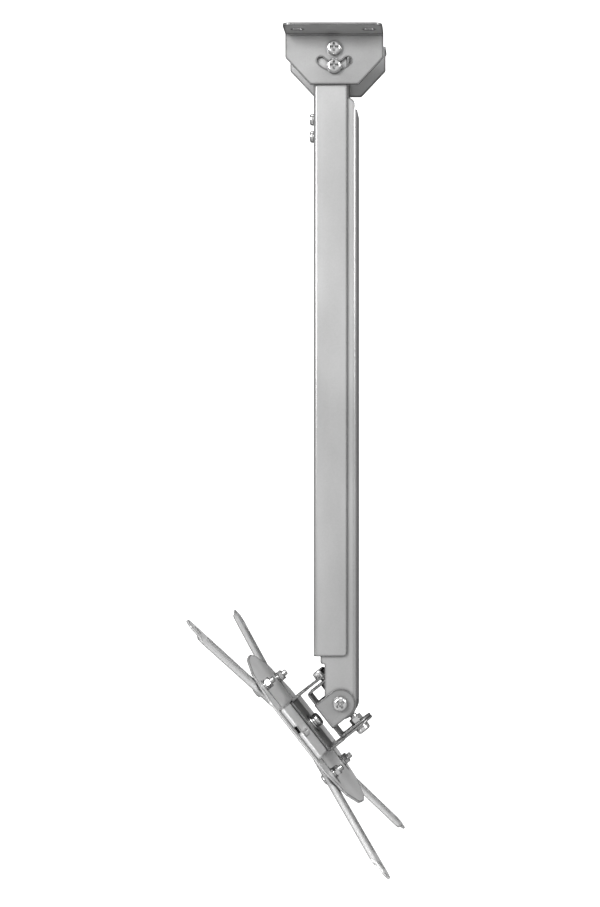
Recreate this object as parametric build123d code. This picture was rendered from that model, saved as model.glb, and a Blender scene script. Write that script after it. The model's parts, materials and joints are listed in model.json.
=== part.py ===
from build123d import *
import os
from math import cos, radians, sin, sqrt

os.makedirs("parts", exist_ok=True)

# Sizes are in millimetres. The origin is the middle of the ceiling contact face.
# X points right, Y points away from the viewer and Z points up.

# Sheet and fits
sheet = 2.0
bend_inside = 1.0
hole_gap = 0.25
pivot_gap = 0.05
slide_gap = 0.1
cut_over = 1.0
long_reach = 2000.0

# Large fasteners
bolt_r = 3.0
head_r = 6.0
head_height = 4.4
nut_flats = 10.0
nut_height = 5.0
washer_r = 6.2
washer_thick = 1.2
spring_washer_r = 5.6
spring_washer_thick = 1.6
tip_beyond_nut = 2.5
sleeve_wall = 1.9

# Small fasteners: the clamp screws and the arm bolts
screw_r = 2.5
screw_head_r = 4.8
screw_head_height = 3.7
screw_washer_r = 5.0
screw_washer_thick = 0.9
small_nut_flats = 8.0
small_nut_height = 4.0
small_spring_r = 4.6
small_spring_thick = 1.3
small_tip_beyond_nut = 3.5
screw_pitch = 14.5
screw_top_z = -68.1
screw_tip_beyond_plate = 2.5

# Fastener proportions, each a share of the head, nut or ring that it shapes
head_round = 0.48
recess_depth = 0.45
recess_length = 1.15
recess_width = 0.24
shank_chamfer = 0.2
nut_chamfer = 0.12
split_width = 0.45
split_place = 1.3
split_slant = 25.0

# Ceiling brackets
cheek_play = 0.5
cheek_half_width = 40.7
cheek_side_height = 21.6
cheek_height = 43.7
cheek_foot_half_width = 20.0
cheek_corner_r = 2.0
flange_depth = 29.0
flange_corner_r = 6.0
ceiling_slot_x = 29.5
ceiling_slot_from_edge = 13.5
ceiling_slot_r = 2.75
ceiling_slot_length = 9.5
tilt_z = -14.1
lock_arm = 15.0
lock_half_angle = 48.0

# Outer channel of the pole
outer_half_width = 20.5
outer_web_x = -17.5
outer_flange_x = 10.5
outer_bottom_z = -519.0
outer_ear_r = 12.0
outer_shoulder_drop = 2.0
outer_foot_corner_r = 3.0
pole_travel = 350.0
slot_spare = 1.0

# Inner channel of the pole
inner_play = 0.3
inner_web_x = 18.5
inner_flange_x = -11.9
inner_top_z = -53.5
inner_top_inset = 1.5
inner_top_corner_r = 6.5
inner_web_top_drop = 10.0
inner_web_rise = 2.0
inner_cut_z = -525.6
inner_step_corner_r = 2.0
pitch_x = 5.0
pitch_z = -558.4
clamp_plate_thick = 3.0
clamp_plate_top_z = -57.5
clamp_plate_height = 36.0
clamp_plate_reach = 15.0

# Joint head in its own frame: x down the slope, y away, z off the plate
rest_slope = 51.8
rest_swivel = 1.5
lug_r = 12.25
yoke_play = 0.3
yoke_base_drop = 18.4
yoke_end_x = 23.6
roll_play = 1.3
bracket_slip = 1.0
bracket_base_drop = 32.6
bracket_half_depth = 20.0
bracket_shoulder_drop = 16.0
roll_tip_x = 13.9
swivel_washer_r = 8.5
swivel_washer_thick = 1.6
swivel_tip_beyond_nut = 1.0
turn_gap = 0.3

# Bridge and spider plate
bridge_half_length = 25.5
bridge_half_depth = 66.0
bridge_height = 4.1
bridge_edge_r = 1.8
bridge_inside_r = 0.6
bridge_window_x = -4.0
bridge_window_length = 6.0
bridge_window_height = 2.4
rib_x = 2.4
rib_half_width = 3.2
rib_height = 0.9
rib_length = 30.0
spider_edge_y = 71.0
spider_edge_x = 34.0
spider_shoulder_x = 62.0
spider_shoulder_y = 52.0
spider_end_x = 75.5
spider_end_y = 22.0
spider_tip_x = 78.0
spider_corner_r = 6.0
spider_hole_r = 8.0
arm_bolt_y = 44.5
arm_bolt_left_x = 48.8
arm_bolt_right_x = 42.2
spider_slot_inner_x = 30.0

# Arms
arm_length = 138.0
arm_half_width = 9.5
arm_height = 3.8
arm_tip_half_width = 4.6
arm_taper_length = 16.0
arm_wall_stop = 12.0
arm_wall_ramp = 4.0
arm_end_corner_r = 5.0
arm_tip_corner_r = 3.0
arm_slot_inner = 8.0
arm_slot_outer = 28.0
arm_hole_from_tip = 12.5
arm_hole_r = 2.75
arm_tail_left = 25.5
arm_tail_right = 19.0
arm_turn_left = 50.0
arm_turn_right = 45.0
arm_spacer_thick = 1.0

# Values that follow from the ones above
bend_outside = bend_inside + sheet
bore_r = bolt_r + hole_gap
pivot_r = bolt_r + pivot_gap
cheek_in = outer_half_width + cheek_play
cheek_out = cheek_in + sheet
outer_in = outer_half_width - sheet
inner_half_width = outer_in - inner_play
inner_in = inner_half_width - sheet
end_r = inner_web_x - pitch_x
ear_in = inner_half_width + yoke_play
ear_out = ear_in + sheet
bracket_in_x = yoke_end_x + roll_play
bracket_out_x = bracket_in_x + sheet
lock_z = tilt_z - lock_arm
bridge_top = -bracket_base_drop - turn_gap
spider_top = bridge_top - bridge_height
spider_under = spider_top - sheet
arm_top = spider_under - arm_spacer_thick - slide_gap
slot_r = screw_r + hole_gap
sleeve_r = pivot_r + sleeve_wall
screw_bottom_z = screw_top_z - screw_pitch


def outline(points, radii):
    """Closed flat outline with a rounding at each corner."""
    face = make_face(Polyline(*points, close=True))
    for point, radius in zip(points, radii):
        if radius > 0:
            place = Vector(point[0], point[1], 0)
            corner = face.vertices().sort_by_distance(place)[0]
            face = fillet(corner, radius)
    return face


def block(x_low, x_high, y_low, y_high, z_low, z_high):
    """Box between two corners."""
    size = Box(x_high - x_low, y_high - y_low, z_high - z_low)
    middle = ((x_low + x_high) / 2, (y_low + y_high) / 2, (z_low + z_high) / 2)
    return Pos(*middle) * size


def side_prism(face):
    """Outline in x and z, taken a long way both ways along y."""
    return extrude(Plane.XZ * face, amount=long_reach, both=True)


def front_prism(face):
    """Outline in y and z, taken a long way both ways along x."""
    return extrude(Plane.YZ * face, amount=long_reach, both=True)


def plan_prism(face):
    """Outline in x and y, taken a long way both ways along z."""
    return extrude(face, amount=long_reach, both=True)


def rod(radius, start, end):
    """Round bar between two points."""
    direction = Vector(*end) - Vector(*start)
    bar = Cylinder(radius, direction.length, align=(Align.CENTER, Align.CENTER, Align.MIN))
    return Plane(origin=start, z_dir=direction) * bar


def y_hole(radius, x, z):
    """Round cutter right across the width."""
    return rod(radius, (x, -long_reach, z), (x, long_reach, z))


def slot_cutter(radius, start, end, direction, depth):
    """Cutter with round ends between two points, along a direction both ways."""
    push = Vector(*direction).normalized() * depth
    first = Vector(*start)
    last = Vector(*end)
    run = (last - first).normalized()
    body = rod(radius, first - push, first + push)
    body += rod(radius, last - push, last + push)
    middle = (first + last) * 0.5
    span = Box((last - first).length, 2 * radius, 2 * depth)
    body += Plane(origin=middle, x_dir=run, z_dir=direction) * span
    return body


def channel_face(half_width, web, tip, thick, inside_r):
    """U outline: web at one x, two walls that run to the tip x."""
    way = 1 if tip > web else -1
    inner_web = web + way * thick
    points = [
        (web, -half_width), (tip, -half_width), (tip, -half_width + thick),
        (inner_web, -half_width + thick), (inner_web, half_width - thick),
        (tip, half_width - thick), (tip, half_width), (web, half_width),
    ]
    outside_r = inside_r + thick
    return outline(points, [outside_r, 0, 0, inside_r, inside_r, 0, 0, outside_r])


def pan_bolt(shank_r, top_r, top_height, length):
    """Cross-slotted pan bolt. It seats at z = 0 and its shank points down."""
    head = Cylinder(top_r, top_height, align=(Align.CENTER, Align.CENTER, Align.MIN))
    rims = head.edges().filter_by(GeomType.CIRCLE).sort_by(Axis.Z)
    head = fillet(rims[-1], top_height * head_round)
    for turn in (0, 90):
        bar = Box(top_r * recess_length, top_r * recess_width, top_height * recess_depth * 2)
        head -= Pos(0, 0, top_height) * Rot(0, 0, turn) * bar
    shank = Cylinder(shank_r, length, align=(Align.CENTER, Align.CENTER, Align.MAX))
    tip = shank.edges().filter_by(GeomType.CIRCLE).sort_by(Axis.Z)[0]
    shank = chamfer(tip, shank_r * shank_chamfer)
    return head + shank


def hex_nut(flats, height, bore):
    """Hexagon nut that sits on z = 0, with its corners taken off."""
    six = RegularPolygon(flats / 2, 6, major_radius=False)
    body = extrude(six, amount=height)
    corner_r = flats / sqrt(3)
    envelope = Cylinder(corner_r, height, align=(Align.CENTER, Align.CENTER, Align.MIN))
    rims = envelope.edges().filter_by(GeomType.CIRCLE)
    envelope = chamfer(rims, height * nut_chamfer)
    body = body & envelope
    return body - Cylinder(bore, height * 4)


def ring(outer_r, inner_r, thick):
    """Flat washer that sits on z = 0."""
    disc = Cylinder(outer_r, thick, align=(Align.CENTER, Align.CENTER, Align.MIN))
    return disc - Cylinder(inner_r, thick * 4)


def split_ring(outer_r, inner_r, thick):
    """Spring washer that sits on z = 0, with its slanted split."""
    body = ring(outer_r, inner_r, thick)
    gap = Box(outer_r * 2, thick * split_width, thick * 5)
    return body - Pos(outer_r * split_place, 0, thick / 2) * Rot(split_slant, 0, 0) * gap


def seat(solid, point, direction, across=None):
    """Puts a fastener at a point, with its z along a direction."""
    if across is None:
        return Plane(origin=point, z_dir=direction) * solid
    return Plane(origin=point, x_dir=across, z_dir=direction) * solid


def cross_bolt(grip_low, grip_high, x, z):
    """Bolt, nut and two washers across y, with the head on the near side."""
    head_at = grip_low - washer_thick
    nut_at = grip_high + washer_thick
    length = nut_at + nut_height + tip_beyond_nut - head_at
    bolt = seat(pan_bolt(bolt_r, head_r, head_height, length), (x, head_at, z), (0, -1, 0))
    nut = seat(hex_nut(nut_flats, nut_height, bolt_r), (x, nut_at, z), (0, 1, 0), (1, 0, 0))
    near = seat(ring(washer_r, bore_r, washer_thick), (x, grip_low, z), (0, -1, 0))
    far = seat(ring(washer_r, bore_r, washer_thick), (x, grip_high, z), (0, 1, 0))
    return bolt, nut, Compound([near, far])


def cross_sleeve(half_length, x, z):
    """Spacer tube across y."""
    body = rod(sleeve_r, (x, -half_length, z), (x, half_length, z))
    return body - y_hole(pivot_r, x, z)


nodes = {}

# Ceiling brackets
bracket_points = [
    (cheek_in, -cheek_height), (cheek_in, 0), (cheek_in + flange_depth, 0),
    (cheek_in + flange_depth, -sheet), (cheek_out, -sheet), (cheek_out, -cheek_height),
]
angle_face = outline(bracket_points, [0, bend_outside, 0, 0, bend_inside, 0])
ceiling_bracket = extrude(Plane.YZ * angle_face, amount=cheek_half_width, both=True)
cheek_points = [
    (-cheek_half_width, cut_over), (cheek_half_width, cut_over),
    (cheek_half_width, -cheek_side_height), (cheek_foot_half_width, -cheek_height),
    (-cheek_foot_half_width, -cheek_height), (-cheek_half_width, -cheek_side_height),
]
cheek_radii = [0, 0, cheek_corner_r, cheek_corner_r, cheek_corner_r, cheek_corner_r]
ceiling_bracket = ceiling_bracket & side_prism(outline(cheek_points, cheek_radii))
flange_edge = cheek_in + flange_depth
flange_points = [
    (-cheek_half_width, 0), (cheek_half_width, 0),
    (cheek_half_width, flange_edge), (-cheek_half_width, flange_edge),
]
flange_face = outline(flange_points, [0, 0, flange_corner_r, flange_corner_r])
ceiling_bracket = ceiling_bracket & plan_prism(flange_face)
ceiling_bracket -= y_hole(bore_r, 0, tilt_z)

# The arc slot that the locking bolt follows
arc_band = y_hole(lock_arm + bore_r, 0, tilt_z) - y_hole(lock_arm - bore_r, 0, tilt_z)
wedge_low = (0, tilt_z)
wedge_reach = 3 * lock_arm
wedge_x = wedge_reach * sin(radians(lock_half_angle))
wedge_z = tilt_z - wedge_reach * cos(radians(lock_half_angle))
wedge = make_face(Polyline(wedge_low, (wedge_x, wedge_z), (-wedge_x, wedge_z), close=True))
arc_cut = arc_band & side_prism(wedge)
for side in (-1, 1):
    end_x = side * lock_arm * sin(radians(lock_half_angle))
    end_z = tilt_z - lock_arm * cos(radians(lock_half_angle))
    arc_cut += y_hole(bore_r, end_x, end_z)
ceiling_bracket -= arc_cut
slot_y = flange_edge - ceiling_slot_from_edge
slot_half_run = ceiling_slot_length / 2 - ceiling_slot_r
for side in (-1, 1):
    start = (side * ceiling_slot_x - slot_half_run, slot_y, 0)
    end = (side * ceiling_slot_x + slot_half_run, slot_y, 0)
    ceiling_bracket -= slot_cutter(ceiling_slot_r, start, end, (0, 0, 1), sheet * 4)
nodes["ceiling_bracket_far"] = ceiling_bracket
nodes["ceiling_bracket_near"] = mirror(ceiling_bracket, about=Plane.XZ)

# Tilt bolt through both cheeks, and the locking bolt below it
tilt_bolt, tilt_nut, tilt_washers = cross_bolt(-cheek_out, cheek_out, 0, tilt_z)
nodes["tilt_bolt"] = tilt_bolt
nodes["tilt_nut"] = tilt_nut
nodes["tilt_washers"] = tilt_washers
lock_grip = cheek_out + slide_gap
lock_bolt, lock_nut, lock_washers = cross_bolt(-lock_grip, lock_grip, 0, lock_z)
nodes["lock_bolt"] = lock_bolt
nodes["lock_nut"] = lock_nut
nodes["lock_washers"] = lock_washers

# Outer channel
outer_face = channel_face(outer_half_width, outer_web_x, outer_flange_x, sheet, bend_inside)
outer_channel = plan_prism(outer_face)
outer_top = tilt_z - outer_shoulder_drop
shaft_points = [
    (outer_web_x, outer_bottom_z), (outer_flange_x, outer_bottom_z),
    (outer_flange_x, outer_top), (outer_web_x, outer_top),
]
shaft_radii = [0, outer_foot_corner_r, 0, outer_foot_corner_r]
shaft_prism = side_prism(outline(shaft_points, shaft_radii))
ear_prism = y_hole(outer_ear_r, 0, tilt_z)
ear_prism = ear_prism & block(-long_reach, outer_flange_x, -long_reach, long_reach, -long_reach, 0)
outer_channel = outer_channel & (shaft_prism + ear_prism)
outer_channel -= y_hole(pivot_r, 0, tilt_z)
outer_channel -= y_hole(bore_r, 0, lock_z)
slot_top_z = screw_top_z + slot_spare
slot_low_z = screw_bottom_z - pole_travel - slot_spare
slot_start = (outer_web_x, 0, slot_top_z)
slot_end = (outer_web_x, 0, slot_low_z)
outer_channel -= slot_cutter(slot_r, slot_start, slot_end, (1, 0, 0), sheet * 2)
nodes["outer_channel"] = outer_channel
nodes["tilt_sleeve"] = cross_sleeve(outer_in, 0, tilt_z)
nodes["lock_sleeve"] = cross_sleeve(outer_in, 0, lock_z)

# Inner channel
inner_face = channel_face(inner_half_width, inner_web_x, inner_flange_x, sheet, bend_inside)
inner_channel = plan_prism(inner_face)
web_top_z = inner_top_z - inner_web_top_drop
inset_x = inner_web_x - inner_top_inset
lug_left_x = pitch_x - end_r
inner_points = [
    (inner_flange_x, inner_top_z), (inset_x, inner_top_z), (inset_x, web_top_z),
    (inner_web_x + cut_over, web_top_z), (inner_web_x + cut_over, pitch_z), (lug_left_x, pitch_z),
    (lug_left_x, inner_cut_z), (inner_flange_x, inner_cut_z),
]
inner_radii = [0, inner_top_corner_r, 0, 0, 0, 0, bend_inside, inner_step_corner_r]
inner_channel = inner_channel & (side_prism(outline(inner_points, inner_radii))
                                 + y_hole(end_r, pitch_x, pitch_z))
web_in_x = inner_web_x - sheet - bend_inside
inner_channel -= block(web_in_x, inner_web_x + cut_over, -inner_in, inner_in,
                       pitch_z - 2 * end_r, pitch_z + inner_web_rise)
inner_channel -= block(web_in_x, inner_web_x + cut_over, -inner_in, inner_in,
                       web_top_z, inner_top_z + cut_over)
inner_channel -= y_hole(pivot_r, pitch_x, pitch_z)
nodes["inner_channel"] = inner_channel
nodes["pitch_sleeve"] = cross_sleeve(inner_in, pitch_x, pitch_z)

# Clamp plate inside the pole and its two screws
plate_x = outer_web_x + sheet + slide_gap
plate_face = channel_face(inner_in, plate_x, plate_x + clamp_plate_reach,
                          clamp_plate_thick, bend_inside)
clamp_plate = extrude(plate_face, amount=clamp_plate_height)
clamp_plate = Pos(0, 0, clamp_plate_top_z - clamp_plate_height) * clamp_plate
screws = []
screw_rings = []
washer_x = outer_web_x - slide_gap
head_x = washer_x - screw_washer_thick
screw_length = plate_x + clamp_plate_thick + screw_tip_beyond_plate - head_x
for height in (screw_top_z, screw_bottom_z):
    clamp_plate -= rod(screw_r, (plate_x - cut_over, 0, height),
                       (plate_x + clamp_plate_thick + cut_over, 0, height))
    screw = pan_bolt(screw_r, screw_head_r, screw_head_height, screw_length)
    screws.append(seat(screw, (head_x, 0, height), (-1, 0, 0)))
    washer = ring(screw_washer_r, slot_r, screw_washer_thick)
    screw_rings.append(seat(washer, (washer_x, 0, height), (-1, 0, 0)))
nodes["clamp_plate"] = clamp_plate
nodes["clamp_screws"] = Compound(screws)
nodes["clamp_washers"] = Compound(screw_rings)

# Joint head, built level about the crossing of its two axes and then tilted
head_frame = Location((pitch_x, 0, pitch_z), (0, rest_slope, 0))
bracket_shift = Pos(-bracket_slip, 0, 0)
head_nodes = {}


def strap(half_outer, half_width, drop, along_y):
    """Folded strap: a base and two upright lugs with round tops."""
    points = [
        (-half_outer, lug_r), (-half_outer, -drop), (half_outer, -drop), (half_outer, lug_r),
        (half_outer - sheet, lug_r), (half_outer - sheet, sheet - drop),
        (sheet - half_outer, sheet - drop), (sheet - half_outer, lug_r),
    ]
    radii = [0, bend_outside, bend_outside, 0, 0, bend_inside, bend_inside, 0]
    face = outline(points, radii)
    lug = Circle(lug_r)
    lug += Pos(0, -drop / 2) * Rectangle(2 * lug_r, drop)
    if half_width > lug_r:
        wide = drop - bracket_shoulder_drop
        lug += Pos(0, -drop + wide / 2) * Rectangle(2 * half_width, wide)
    if along_y:
        return front_prism(face) & side_prism(lug)
    return side_prism(face) & front_prism(lug)


yoke = strap(ear_out, lug_r, yoke_base_drop, True)
yoke += strap(yoke_end_x, lug_r, yoke_base_drop, False)
yoke -= y_hole(bore_r, 0, 0)
yoke -= rod(pivot_r, (-long_reach, 0, 0), (long_reach, 0, 0))
head_nodes["cross_yoke"] = yoke

pitch_bolt, pitch_nut, pitch_washers = cross_bolt(-ear_out, ear_out, 0, 0)
head_nodes["pitch_bolt"] = pitch_bolt
head_nodes["pitch_nut"] = pitch_nut
head_nodes["pitch_washers"] = pitch_washers

bracket = strap(bracket_out_x, bracket_half_depth, bracket_base_drop, False)
bracket -= rod(bore_r, (-long_reach, 0, 0), (long_reach, 0, 0))
bracket -= rod(bore_r, (0, 0, -bracket_base_drop - cut_over),
               (0, 0, -bracket_base_drop + sheet + cut_over))
head_nodes["swivel_bracket"] = bracket_shift * bracket

roll_bolts = []
roll_nuts = []
roll_rings = []
lug_face_x = yoke_end_x - sheet - slide_gap
for side in (-1, 1):
    way = (side, 0, 0)
    outer_face_x = bracket_out_x - side * bracket_slip
    roll_head_x = outer_face_x + washer_thick
    roll_bolt = pan_bolt(bolt_r, head_r, head_height, roll_head_x - roll_tip_x)
    roll_bolts.append(seat(roll_bolt, (side * roll_head_x, 0, 0), way))
    outer_ring = ring(washer_r, bore_r, washer_thick)
    roll_rings.append(seat(outer_ring, (side * outer_face_x, 0, 0), way))
    nut_x = side * (lug_face_x - nut_height)
    roll_nut = hex_nut(nut_flats, nut_height, bolt_r)
    roll_nuts.append(seat(roll_nut, (nut_x, 0, 0), way, (0, 0, 1)))
head_nodes["roll_bolts"] = Compound(roll_bolts)
head_nodes["roll_nuts"] = Compound(roll_nuts)
head_nodes["roll_washers"] = Compound(roll_rings)

# Swivel bolt through the bracket and the bridge
up = (0, 0, 1)
down = (0, 0, -1)
base_top = sheet - bracket_base_drop
swivel_ring = ring(swivel_washer_r, bore_r, swivel_washer_thick)
head_nodes["swivel_washer"] = bracket_shift * seat(swivel_ring, (0, 0, base_top), up)
spring_at = base_top + swivel_washer_thick
spring = split_ring(spring_washer_r, bore_r, spring_washer_thick)
head_nodes["swivel_spring_washer"] = bracket_shift * seat(spring, (0, 0, spring_at), up)
swivel_head_at = spring_at + spring_washer_thick
swivel_nut_at = bridge_top - sheet - slide_gap
swivel_tip = swivel_nut_at - nut_height - swivel_tip_beyond_nut
swivel_bolt = pan_bolt(bolt_r, head_r, head_height, swivel_head_at - swivel_tip)
head_nodes["swivel_bolt"] = bracket_shift * seat(swivel_bolt, (0, 0, swivel_head_at), up)
swivel_nut = hex_nut(nut_flats, nut_height, bolt_r)
head_nodes["swivel_nut"] = bracket_shift * seat(swivel_nut, (0, 0, swivel_nut_at), down, (1, 0, 0))

for name, solid in head_nodes.items():
    nodes[name] = head_frame * solid

# Bridge, spider plate and arms, turned a little about the swivel bolt
plate_frame = head_frame * Location((-bracket_slip, 0, 0), (0, 0, -rest_swivel))
plate_nodes = {}

bridge_points = [
    (-bridge_half_depth, bridge_top), (bridge_half_depth, bridge_top),
    (bridge_half_depth, spider_top), (bridge_half_depth - sheet, spider_top),
    (bridge_half_depth - sheet, bridge_top - sheet),
    (sheet - bridge_half_depth, bridge_top - sheet),
    (sheet - bridge_half_depth, spider_top), (-bridge_half_depth, spider_top),
]
bridge_radii = [bridge_edge_r, bridge_edge_r, 0, 0, bridge_inside_r, bridge_inside_r, 0, 0]
bridge_face = outline(bridge_points, bridge_radii)
bridge = extrude(Plane.YZ * bridge_face, amount=bridge_half_length, both=True)
rib = rod(rib_half_width, (0, -bridge_half_depth + sheet, 0), (0, rib_length - bridge_half_depth, 0))
rib = Pos(rib_x, 0, bridge_top + rib_height - rib_half_width) * rib
rib = rib & block(-long_reach, long_reach, -long_reach, long_reach, bridge_top - sheet / 2, 0)
bridge += rib
bridge -= rod(pivot_r, (0, 0, bridge_top - sheet - cut_over), (0, 0, bridge_top + cut_over))
window_low = spider_top + (bridge_height - bridge_window_height) / 2
bridge -= block(bridge_window_x - bridge_window_length / 2,
                bridge_window_x + bridge_window_length / 2,
                -bridge_half_depth - cut_over, -bridge_half_depth + sheet + cut_over,
                window_low, window_low + bridge_window_height)
plate_nodes["bridge_plate"] = bridge

quarter = [
    (spider_edge_x, spider_edge_y), (spider_shoulder_x, spider_shoulder_y),
    (spider_end_x, spider_end_y),
]
right_side = [(x, -y) for x, y in quarter] + [(spider_tip_x, 0)]
right_side += [(x, y) for x, y in reversed(quarter)]
left_side = [(-x, -y) for x, y in right_side]
spider_points = right_side + left_side
spider_face = outline(spider_points, [spider_corner_r] * len(spider_points))
spider = extrude(spider_face, amount=-sheet)
spider = Pos(0, 0, spider_top) * spider
spider -= rod(spider_hole_r, (0, 0, spider_under - cut_over), (0, 0, spider_top + cut_over))
for side_x in (-1, 1):
    for side_y in (-1, 1):
        start = (side_x * arm_bolt_left_x, side_y * arm_bolt_y, spider_under)
        end = (side_x * spider_slot_inner_x, side_y * arm_bolt_y, spider_under)
        spider -= slot_cutter(slot_r, start, end, up, sheet * 2)
plate_nodes["spider_plate"] = spider


def arm_blank():
    """Arm with its inner end at x = 0, its tip at the far x and its top on z = 0."""
    points = [
        (-arm_half_width, 0), (-arm_half_width, -arm_height),
        (sheet - arm_half_width, -arm_height), (sheet - arm_half_width, -sheet),
        (arm_half_width - sheet, -sheet), (arm_half_width - sheet, -arm_height),
        (arm_half_width, -arm_height), (arm_half_width, 0),
    ]
    radii = [bend_outside, 0, 0, bend_inside, bend_inside, 0, 0, bend_outside]
    body = front_prism(outline(points, radii))
    taper_slope = arm_taper_length / (arm_half_width - arm_tip_half_width)
    wide = arm_half_width + cut_over
    tip_start = arm_length - arm_taper_length - cut_over * taper_slope
    plan = [
        (0, -wide), (tip_start, -wide),
        (arm_length, -arm_tip_half_width), (arm_length, arm_tip_half_width),
        (tip_start, wide), (0, wide),
    ]
    corner_r = arm_end_corner_r + cut_over
    tip_r = arm_tip_corner_r
    body = body & plan_prism(outline(plan, [corner_r, 0, tip_r, tip_r, 0, corner_r]))
    wall_end = arm_length - arm_wall_stop
    side = [
        (0, 0), (0, -arm_height), (wall_end, -arm_height),
        (wall_end + arm_wall_ramp, -sheet), (arm_length, -sheet), (arm_length, 0),
    ]
    body = body & side_prism(outline(side, [0] * len(side)))
    slot_start = (arm_slot_inner + slot_r, 0, 0)
    slot_end = (arm_length - arm_slot_outer - slot_r, 0, 0)
    body -= slot_cutter(slot_r, slot_start, slot_end, up, sheet * 2)
    hole_x = arm_length - arm_hole_from_tip
    return body - rod(arm_hole_r, (hole_x, 0, -sheet * 2), (hole_x, 0, sheet))


arm = arm_blank()
arm_places = [
    (-arm_bolt_left_x, -arm_bolt_y, arm_tail_left, 180 + arm_turn_left),
    (-arm_bolt_left_x, arm_bolt_y, arm_tail_left, 180 - arm_turn_left),
    (arm_bolt_right_x, -arm_bolt_y, arm_tail_right, -arm_turn_right),
    (arm_bolt_right_x, arm_bolt_y, arm_tail_right, arm_turn_right),
]
arm_head_at = arm_top - sheet - slide_gap
arm_spring_at = spider_top + screw_washer_thick
arm_nut_at = arm_spring_at + small_spring_thick
arm_bolt_top = arm_nut_at + small_nut_height + small_tip_beyond_nut
small_ring = ring(screw_washer_r, slot_r, screw_washer_thick)
for number, place in enumerate(arm_places, start=1):
    bolt_x, bolt_y, tail, bearing = place
    bolt_frame = Location((bolt_x, bolt_y, 0), (0, 0, bearing))
    arm_frame = bolt_frame * Location((-tail, 0, arm_top))
    plate_nodes[f"arm_{number}"] = arm_frame * arm
    lower_ring = seat(small_ring, (0, 0, arm_head_at), down)
    upper_ring = seat(small_ring, (0, 0, spider_top), up)
    spacer = seat(ring(screw_washer_r, slot_r, arm_spacer_thick), (0, 0, spider_under), down)
    bolt_at = arm_head_at - screw_washer_thick
    arm_bolt = pan_bolt(screw_r, screw_head_r, screw_head_height, arm_bolt_top - bolt_at)
    arm_bolt = seat(arm_bolt, (0, 0, bolt_at), down)
    small_nut = hex_nut(small_nut_flats, small_nut_height, screw_r)
    arm_nut = seat(small_nut, (0, 0, arm_nut_at), up, (1, 0, 0))
    lock_ring = split_ring(small_spring_r, slot_r, small_spring_thick)
    lock_ring = seat(lock_ring, (0, 0, arm_spring_at), up)
    plate_nodes[f"arm_bolt_{number}"] = bolt_frame * arm_bolt
    plate_nodes[f"arm_nut_{number}"] = bolt_frame * arm_nut
    plate_nodes[f"arm_washers_{number}"] = bolt_frame * Compound([lower_ring, spacer, upper_ring])
    plate_nodes[f"arm_spring_washer_{number}"] = bolt_frame * lock_ring

for name, solid in plate_nodes.items():
    nodes[name] = plate_frame * solid

for name, solid in nodes.items():
    export_step(solid, f"parts/{name}.step")
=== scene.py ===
import json
from math import cos, pi, radians, sin
import bpy
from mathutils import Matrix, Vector


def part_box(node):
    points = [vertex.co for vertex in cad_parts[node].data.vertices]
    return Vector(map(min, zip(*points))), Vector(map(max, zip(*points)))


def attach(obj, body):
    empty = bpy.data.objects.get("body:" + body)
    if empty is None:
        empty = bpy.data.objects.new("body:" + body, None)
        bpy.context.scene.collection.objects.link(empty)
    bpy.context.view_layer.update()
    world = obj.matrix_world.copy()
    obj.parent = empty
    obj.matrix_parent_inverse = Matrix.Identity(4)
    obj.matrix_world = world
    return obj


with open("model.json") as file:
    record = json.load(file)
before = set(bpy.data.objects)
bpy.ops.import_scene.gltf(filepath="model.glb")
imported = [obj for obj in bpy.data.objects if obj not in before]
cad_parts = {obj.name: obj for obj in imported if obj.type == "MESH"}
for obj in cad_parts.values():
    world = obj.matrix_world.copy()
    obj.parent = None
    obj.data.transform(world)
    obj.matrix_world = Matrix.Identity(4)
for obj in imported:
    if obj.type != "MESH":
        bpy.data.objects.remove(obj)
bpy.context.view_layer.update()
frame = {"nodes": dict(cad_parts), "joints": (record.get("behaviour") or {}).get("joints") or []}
nodes = frame["nodes"]

# The photograph is taken as an off-centre crop of a level view along +Y.
# Lengths are in metres, the image is 600 by 907 pixels.
IMAGE_SIDE = 907
IMAGE_CENTRE = (300.0, 453.5)
FOCAL_PIXELS = 1750.0
PRINCIPAL = (456.0, 520.0)
CAMERA_PLACE = (0.101, -1.4755, -0.4055)
CAMERA_PITCH = radians(90.0)
SENSOR = 36.0

WHITE = (1.0, 1.0, 1.0, 1.0)


def node_tree(material):
    """Fresh node tree with one shader, wired to the output."""
    material.use_nodes = True
    tree = material.node_tree
    tree.nodes.clear()
    output = tree.nodes.new("ShaderNodeOutputMaterial")
    shader = tree.nodes.new("ShaderNodeBsdfPrincipled")
    tree.links.new(shader.outputs["BSDF"], output.inputs["Surface"])
    return tree, shader


# Stretch of the noise along each axis: the pole's clouds are drawn out along its length
EVEN = (1.0, 1.0, 1.0)
ALONG_POLE = (1.0, 1.0, 0.35)


def noise(tree, coordinates, scale, detail, stretch=EVEN):
    """Noise in object space, stretched along an axis if asked."""
    mapping = tree.nodes.new("ShaderNodeMapping")
    mapping.inputs["Scale"].default_value = stretch
    texture = tree.nodes.new("ShaderNodeTexNoise")
    texture.inputs["Scale"].default_value = scale
    texture.inputs["Detail"].default_value = detail
    tree.links.new(coordinates, mapping.inputs["Vector"])
    tree.links.new(mapping.outputs["Vector"], texture.inputs["Vector"])
    return texture.outputs["Fac"]


def ramp(tree, factor, low, high, start, end):
    """Maps a factor between low and high to a range from start to end."""
    remap = tree.nodes.new("ShaderNodeMapRange")
    remap.inputs["From Min"].default_value = low
    remap.inputs["From Max"].default_value = high
    remap.inputs["To Min"].default_value = start
    remap.inputs["To Max"].default_value = end
    tree.links.new(factor, remap.inputs["Value"])
    return remap.outputs["Result"]


def combined(tree, operation, first, second):
    """Sum or product of two levels."""
    result = tree.nodes.new("ShaderNodeMath")
    result.operation = operation
    tree.links.new(first, result.inputs[0])
    tree.links.new(second, result.inputs[1])
    return result.outputs["Value"]


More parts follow.
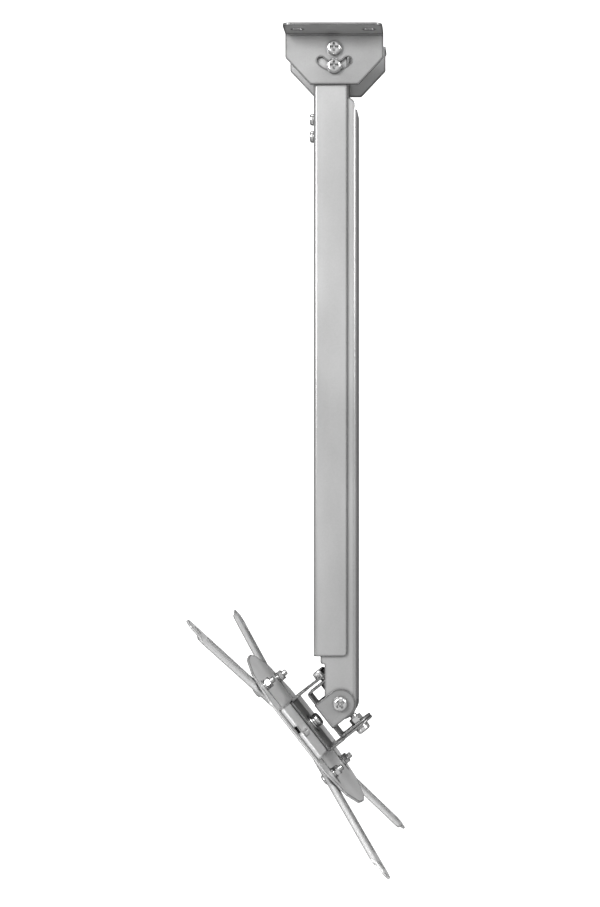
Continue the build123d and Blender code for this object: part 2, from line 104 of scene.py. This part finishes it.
# Painted shade in the gaps: how far a gap reaches, how open it is where it is darkest and where
# the dark ends
SHEET_GAP = 0.004
FASTENER_GAP = 0.0012
GAP_CLOSED = 0.25
GAP_OPEN = 0.85
GAP_DARK = 0.35
GAP_SAMPLES = 8

# Painted shade lines along the edges: their width, and how well a softened normal matches the
# surface's own in them
SHEET_LINE = 0.0028
FASTENER_LINE = 0.0011
LINE_CORE = 0.95
LINE_RIM = 0.998
LINE_DARK = 0.25
LINE_SAMPLES = 6


def painted_gap_shade(tree, factor, reach):
    """Darkens a level with painted shade in the narrow gaps between surfaces."""
    gap = tree.nodes.new("ShaderNodeAmbientOcclusion")
    gap.inputs["Distance"].default_value = reach
    gap.samples = GAP_SAMPLES
    openness = ramp(tree, gap.outputs["AO"], GAP_CLOSED, GAP_OPEN, GAP_DARK, 1.0)
    return combined(tree, "MULTIPLY", factor, openness)


def painted_edge_shade(tree, factor, width):
    """Darkens a level with a thin line of painted shade along each sharp edge."""
    soft = tree.nodes.new("ShaderNodeBevel")
    soft.samples = LINE_SAMPLES
    soft.inputs["Radius"].default_value = width
    surface = tree.nodes.new("ShaderNodeNewGeometry")
    match = tree.nodes.new("ShaderNodeVectorMath")
    match.operation = "DOT_PRODUCT"
    tree.links.new(soft.outputs["Normal"], match.inputs[0])
    tree.links.new(surface.outputs["Normal"], match.inputs[1])
    line = ramp(tree, match.outputs["Value"], LINE_CORE, LINE_RIM, LINE_DARK, 1.0)
    return combined(tree, "MULTIPLY", factor, line)


# Finish of the metal: large soft clouds and fine specks
CLOUD_SCALE = 22.0
CLOUD_DETAIL = 3.0
SPECK_SCALE = 900.0
SPECK_DETAIL = 2.0
NOISE_SPAN = (0.3, 0.7)
SPECK_SWING = 0.012
ROUGH_SWING = 0.04
GRAIN_DEPTH = 0.0002


def coated_steel(name, tone, cloud, roughness, metallic, grain,
                 gloss=0.5, stretch=EVEN, reach=SHEET_GAP, line=SHEET_LINE):
    """Silver-grey finish: soft clouds in the colour, fine grain in the surface, and painted shade
    in the gaps and along the sharp edges.
    """
    material = bpy.data.materials.new(name)
    tree, shader = node_tree(material)
    place = tree.nodes.new("ShaderNodeTexCoord").outputs["Object"]
    clouds = noise(tree, place, CLOUD_SCALE, CLOUD_DETAIL, stretch)
    specks = noise(tree, place, SPECK_SCALE, SPECK_DETAIL)
    cloud_level = ramp(tree, clouds, *NOISE_SPAN, tone - cloud, tone + cloud)
    speck_level = ramp(tree, specks, *NOISE_SPAN, -SPECK_SWING, SPECK_SWING)
    level = combined(tree, "ADD", cloud_level, speck_level)
    # Painted shade: darker in the narrow gaps and in thin lines along the sharp edges
    level = painted_gap_shade(tree, level, reach)
    level = painted_edge_shade(tree, level, line)
    colour = tree.nodes.new("ShaderNodeCombineColor")
    for channel in ("Red", "Green", "Blue"):
        tree.links.new(level, colour.inputs[channel])
    tree.links.new(colour.outputs["Color"], shader.inputs["Base Color"])
    rough_level = ramp(tree, clouds, *NOISE_SPAN, roughness - ROUGH_SWING, roughness + ROUGH_SWING)
    tree.links.new(rough_level, shader.inputs["Roughness"])
    shader.inputs["Metallic"].default_value = metallic
    shader.inputs["Specular IOR Level"].default_value = gloss
    bump = tree.nodes.new("ShaderNodeBump")
    bump.inputs["Strength"].default_value = grain
    bump.inputs["Distance"].default_value = GRAIN_DEPTH
    tree.links.new(specks, bump.inputs["Height"])
    tree.links.new(bump.outputs["Normal"], shader.inputs["Normal"])
    return material


SHEET_LOOK = coated_steel(
    "silver_coat", tone=0.34, cloud=0.03, roughness=0.34, metallic=0.65, grain=0.12)
POLE_LOOK = coated_steel(
    "pole_coat", tone=0.42, cloud=0.035, roughness=0.34, metallic=0.65, grain=0.10,
    stretch=ALONG_POLE)
PLATE_LOOK = coated_steel(
    "plate_coat", tone=0.66, cloud=0.03, roughness=0.40, metallic=0.30, grain=0.14, gloss=0.3)
ZINC_LOOK = coated_steel(
    "bright_zinc", tone=0.86, cloud=0.04, roughness=0.16, metallic=1.0, grain=0.05,
    reach=FASTENER_GAP, line=FASTENER_LINE)
STEEL_LOOK = coated_steel(
    "plain_steel", tone=0.40, cloud=0.04, roughness=0.36, metallic=1.0, grain=0.08)

SHEET_NODES = ("ceiling_bracket_near", "ceiling_bracket_far", "cross_yoke", "swivel_bracket")
POLE_NODES = ("outer_channel", "inner_channel")
PLATE_NODES = ("spider_plate", "bridge_plate", "arm_1", "arm_2", "arm_3", "arm_4")
INNER_NODES = ("clamp_plate", "tilt_sleeve", "lock_sleeve", "pitch_sleeve")

# Fine rounding of the edges, after the mesh's split corners are joined
EDGE_ROUND = 0.0004
FASTENER_ROUND = 0.00012
ROUND_STEPS = 3
SHARP_ANGLE = radians(40.0)
WELD_REACH = 0.00001


def dress(name, material, rounding=EDGE_ROUND):
    """Gives a CAD node its material and a fine rounded edge that catches light."""
    piece = nodes[name]
    piece.data.materials.clear()
    piece.data.materials.append(material)
    joined = piece.modifiers.new("joined", "WELD")
    joined.merge_threshold = WELD_REACH
    edge = piece.modifiers.new("edge", "BEVEL")
    edge.width = rounding
    edge.segments = ROUND_STEPS
    edge.limit_method = "ANGLE"
    edge.angle_limit = SHARP_ANGLE
    edge.harden_normals = True


for node_name in nodes:
    if node_name in SHEET_NODES:
        dress(node_name, SHEET_LOOK)
    elif node_name in POLE_NODES:
        dress(node_name, POLE_LOOK)
    elif node_name in PLATE_NODES:
        dress(node_name, PLATE_LOOK)
    elif node_name in INNER_NODES:
        dress(node_name, STEEL_LOOK)
    else:
        dress(node_name, ZINC_LOOK, FASTENER_ROUND)

# Screw threads on the bolt ends that stand out of their nuts.
# A ridge has a three-cornered section, sunk a little into the bolt, and stops short of the tip.
RIDGE_HEIGHT = 0.00012
RIDGE_SINK = 0.0002
RIDGE_CORNERS = 3
TURN_STEPS = 28
TIP_CLEAR = 0.0006
LARGE_BOLT_R = 0.003
LARGE_PITCH = 0.001
SMALL_BOLT_R = 0.0025
SMALL_PITCH = 0.0008

# Bolts across the pole: their bodies, their direction and their bare end
CROSS_BODIES = {"tilt_bolt": "ceiling", "lock_bolt": "pole_upper", "pitch_bolt": "yoke"}
CROSS_AXIS = (0.0, 1.0, 0.0)
CROSS_END = 0.0025

# Roll bolts, which point inward: how far the tip is from the head's centre, and the bare end
ROLL_TIP = 0.0139
ROLL_END = 0.0026
ROLL_SIDES = {"upper": 1.0, "lower": -1.0}

# Arm bolts: how far the nut's top is above the arm joint, and the bare end
ARM_COUNT = 4
ARM_NUT_TOP = 0.0093
ARM_END = 0.0035


def thread(name, body, foot, axis, radius, pitch, length):
    """Helical ridge round a bolt end, from a foot point along an axis."""
    up = Vector(axis).normalized()
    side = up.orthogonal().normalized()
    across = up.cross(side)
    root = radius - RIDGE_SINK
    crest = radius + RIDGE_HEIGHT
    half = up * (pitch / 2)
    steps = int(TURN_STEPS * (length - pitch) / pitch)
    points = []
    for step in range(steps + 1):
        turn = 2 * pi * step / TURN_STEPS
        outward = side * cos(turn) + across * sin(turn)
        middle = Vector(foot) + up * (pitch / 2 + pitch * step / TURN_STEPS)
        points.append(middle + outward * root - half)
        points.append(middle + outward * crest)
        points.append(middle + outward * root + half)
    last = RIDGE_CORNERS * steps
    faces = [(0, 2, 1), (last, last + 1, last + 2)]
    for step in range(steps):
        first = RIDGE_CORNERS * step
        after = first + RIDGE_CORNERS
        for here, there in ((0, 1), (1, 2), (2, 0)):
            faces.append((first + here, first + there, after + there, after + here))
    mesh = bpy.data.meshes.new(name)
    mesh.from_pydata([tuple(point) for point in points], [], faces)
    mesh.materials.append(ZINC_LOOK)
    ridge = bpy.data.objects.new(name, mesh)
    bpy.context.scene.collection.objects.link(ridge)
    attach(ridge, body)


joints = {joint["name"]: joint for joint in frame["joints"]}
for bolt_name, bolt_body in CROSS_BODIES.items():
    low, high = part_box(bolt_name)
    foot = ((low[0] + high[0]) / 2, high[1] - CROSS_END, (low[2] + high[2]) / 2)
    thread(bolt_name + "_thread", bolt_body, foot, CROSS_AXIS,
           LARGE_BOLT_R, LARGE_PITCH, CROSS_END - TIP_CLEAR)
roll = joints["head_roll"]
for side_name, way in ROLL_SIDES.items():
    inward = Vector(roll["axis"]) * way
    foot = Vector(roll["pos_m"]) - inward * (ROLL_TIP + ROLL_END)
    thread("roll_thread_" + side_name, "swivel_bracket", foot, inward,
           LARGE_BOLT_R, LARGE_PITCH, ROLL_END - TIP_CLEAR)
for number in range(1, ARM_COUNT + 1):
    swing = joints[f"arm_swing_{number}"]
    foot = Vector(swing["pos_m"]) + Vector(swing["axis"]) * ARM_NUT_TOP
    thread(f"arm_thread_{number}", f"arm_clamp_{number}", foot, swing["axis"],
           SMALL_BOLT_R, SMALL_PITCH, ARM_END - TIP_CLEAR)

# Pale floor that curves up into a pale wall, well clear of the object.
# It glows by itself, and neither shows in shiny surfaces nor lights dull ones.
FLOOR_Z = -2.5
WALL_Y = 6.0
FRONT_Y = -6.0
WALL_TOP_Z = 5.0
STAGE_HALF_WIDTH = 9.0
CURVE_R = 1.5
CURVE_STEPS = 16
STAGE_COLOUR = (0.95, 0.95, 0.95, 1.0)
STAGE_ROUGHNESS = 0.9
STAGE_GLOW = 0.95


def backdrop():
    """Sheet that runs along the floor and up the wall behind."""
    profile = [(FRONT_Y, FLOOR_Z)]
    for step in range(CURVE_STEPS + 1):
        turn = step / CURVE_STEPS * pi / 2
        along = WALL_Y - CURVE_R + CURVE_R * sin(turn)
        height = FLOOR_Z + CURVE_R - CURVE_R * cos(turn)
        profile.append((along, height))
    profile.append((WALL_Y, WALL_TOP_Z))
    corners = []
    for along, height in profile:
        corners.append((-STAGE_HALF_WIDTH, along, height))
        corners.append((STAGE_HALF_WIDTH, along, height))
    quads = []
    for row in range(len(profile) - 1):
        first = 2 * row
        quads.append((first, first + 1, first + 3, first + 2))
    mesh = bpy.data.meshes.new("backdrop")
    mesh.from_pydata(corners, [], quads)
    for face in mesh.polygons:
        face.use_smooth = True
    sheet = bpy.data.objects.new("backdrop", mesh)
    bpy.context.scene.collection.objects.link(sheet)
    material = bpy.data.materials.new("backdrop_white")
    _, shader = node_tree(material)
    shader.inputs["Base Color"].default_value = STAGE_COLOUR
    shader.inputs["Roughness"].default_value = STAGE_ROUGHNESS
    shader.inputs["Emission Color"].default_value = WHITE
    shader.inputs["Emission Strength"].default_value = STAGE_GLOW
    mesh.materials.append(material)
    sheet.visible_glossy = False
    sheet.visible_diffuse = False


backdrop()

LIGHT_TARGET = (0.0, 0.0, -0.35)


def soft_light(name, place, size, power, mirrored=True):
    """Square soft light that faces the object, mirrored in shiny surfaces or not."""
    data = bpy.data.lights.new(name, "AREA")
    data.shape = "SQUARE"
    data.size = size
    data.energy = power
    lamp = bpy.data.objects.new(name, data)
    lamp.location = place
    aim = Vector(LIGHT_TARGET) - Vector(place)
    lamp.rotation_euler = aim.to_track_quat("-Z", "Y").to_euler()
    lamp.visible_glossy = mirrored
    bpy.context.scene.collection.objects.link(lamp)


soft_light("key_light", place=(-1.3, -2.0, 0.5), size=1.2, power=54.0)
soft_light("fill_light", place=(1.5, -1.5, 0.6), size=0.9, power=24.0)
soft_light("top_light", place=(0.1, -0.3, 1.3), size=0.8, power=8.0)
soft_light("back_light", place=(-0.6, 2.2, 0.4), size=1.6, power=80.0, mirrored=False)
soft_light("low_light", place=(0.4, -0.6, -2.0), size=1.4, power=30.0, mirrored=False)

# Brightness of the room in each direction, and of the background that the camera sees
FRONT_LEVEL = 0.55
BACK_LEVEL = 0.02
LOW_LEVEL = 0.0
HIGH_LEVEL = 0.12
SEEN_LEVEL = 1.0
DIRECTION_SPAN = (-1.0, 1.0)


def studio_world():
    """Room bright in front and a little above, dark behind, and white where the camera sees it."""
    world = bpy.data.worlds.new("studio")
    bpy.context.scene.world = world
    world.use_nodes = True
    tree = world.node_tree
    sky = tree.nodes["Background"]
    sky.inputs["Color"].default_value = WHITE
    direction = tree.nodes.new("ShaderNodeTexCoord").outputs["Generated"]
    split = tree.nodes.new("ShaderNodeSeparateXYZ")
    tree.links.new(direction, split.inputs["Vector"])
    depth = ramp(tree, split.outputs["Y"], *DIRECTION_SPAN, FRONT_LEVEL, BACK_LEVEL)
    rise = ramp(tree, split.outputs["Z"], *DIRECTION_SPAN, LOW_LEVEL, HIGH_LEVEL)
    room = combined(tree, "ADD", depth, rise)
    seen = tree.nodes.new("ShaderNodeLightPath").outputs["Is Camera Ray"]
    choice = tree.nodes.new("ShaderNodeMix")
    choice.inputs["B"].default_value = SEEN_LEVEL
    tree.links.new(seen, choice.inputs["Factor"])
    tree.links.new(room, choice.inputs["A"])
    tree.links.new(choice.outputs["Result"], sky.inputs["Strength"])


studio_world()

camera_data = bpy.data.cameras.new("camera")
camera_data.sensor_width = SENSOR
camera_data.lens = FOCAL_PIXELS * SENSOR / IMAGE_SIDE
camera_data.shift_x = (IMAGE_CENTRE[0] - PRINCIPAL[0]) / IMAGE_SIDE
camera_data.shift_y = (PRINCIPAL[1] - IMAGE_CENTRE[1]) / IMAGE_SIDE
camera = bpy.data.objects.new("camera", camera_data)
camera.location = CAMERA_PLACE
camera.rotation_euler = (CAMERA_PITCH, 0.0, 0.0)
bpy.context.scene.collection.objects.link(camera)
bpy.context.scene.camera = camera
bpy.context.scene.view_settings.view_transform = "Standard"
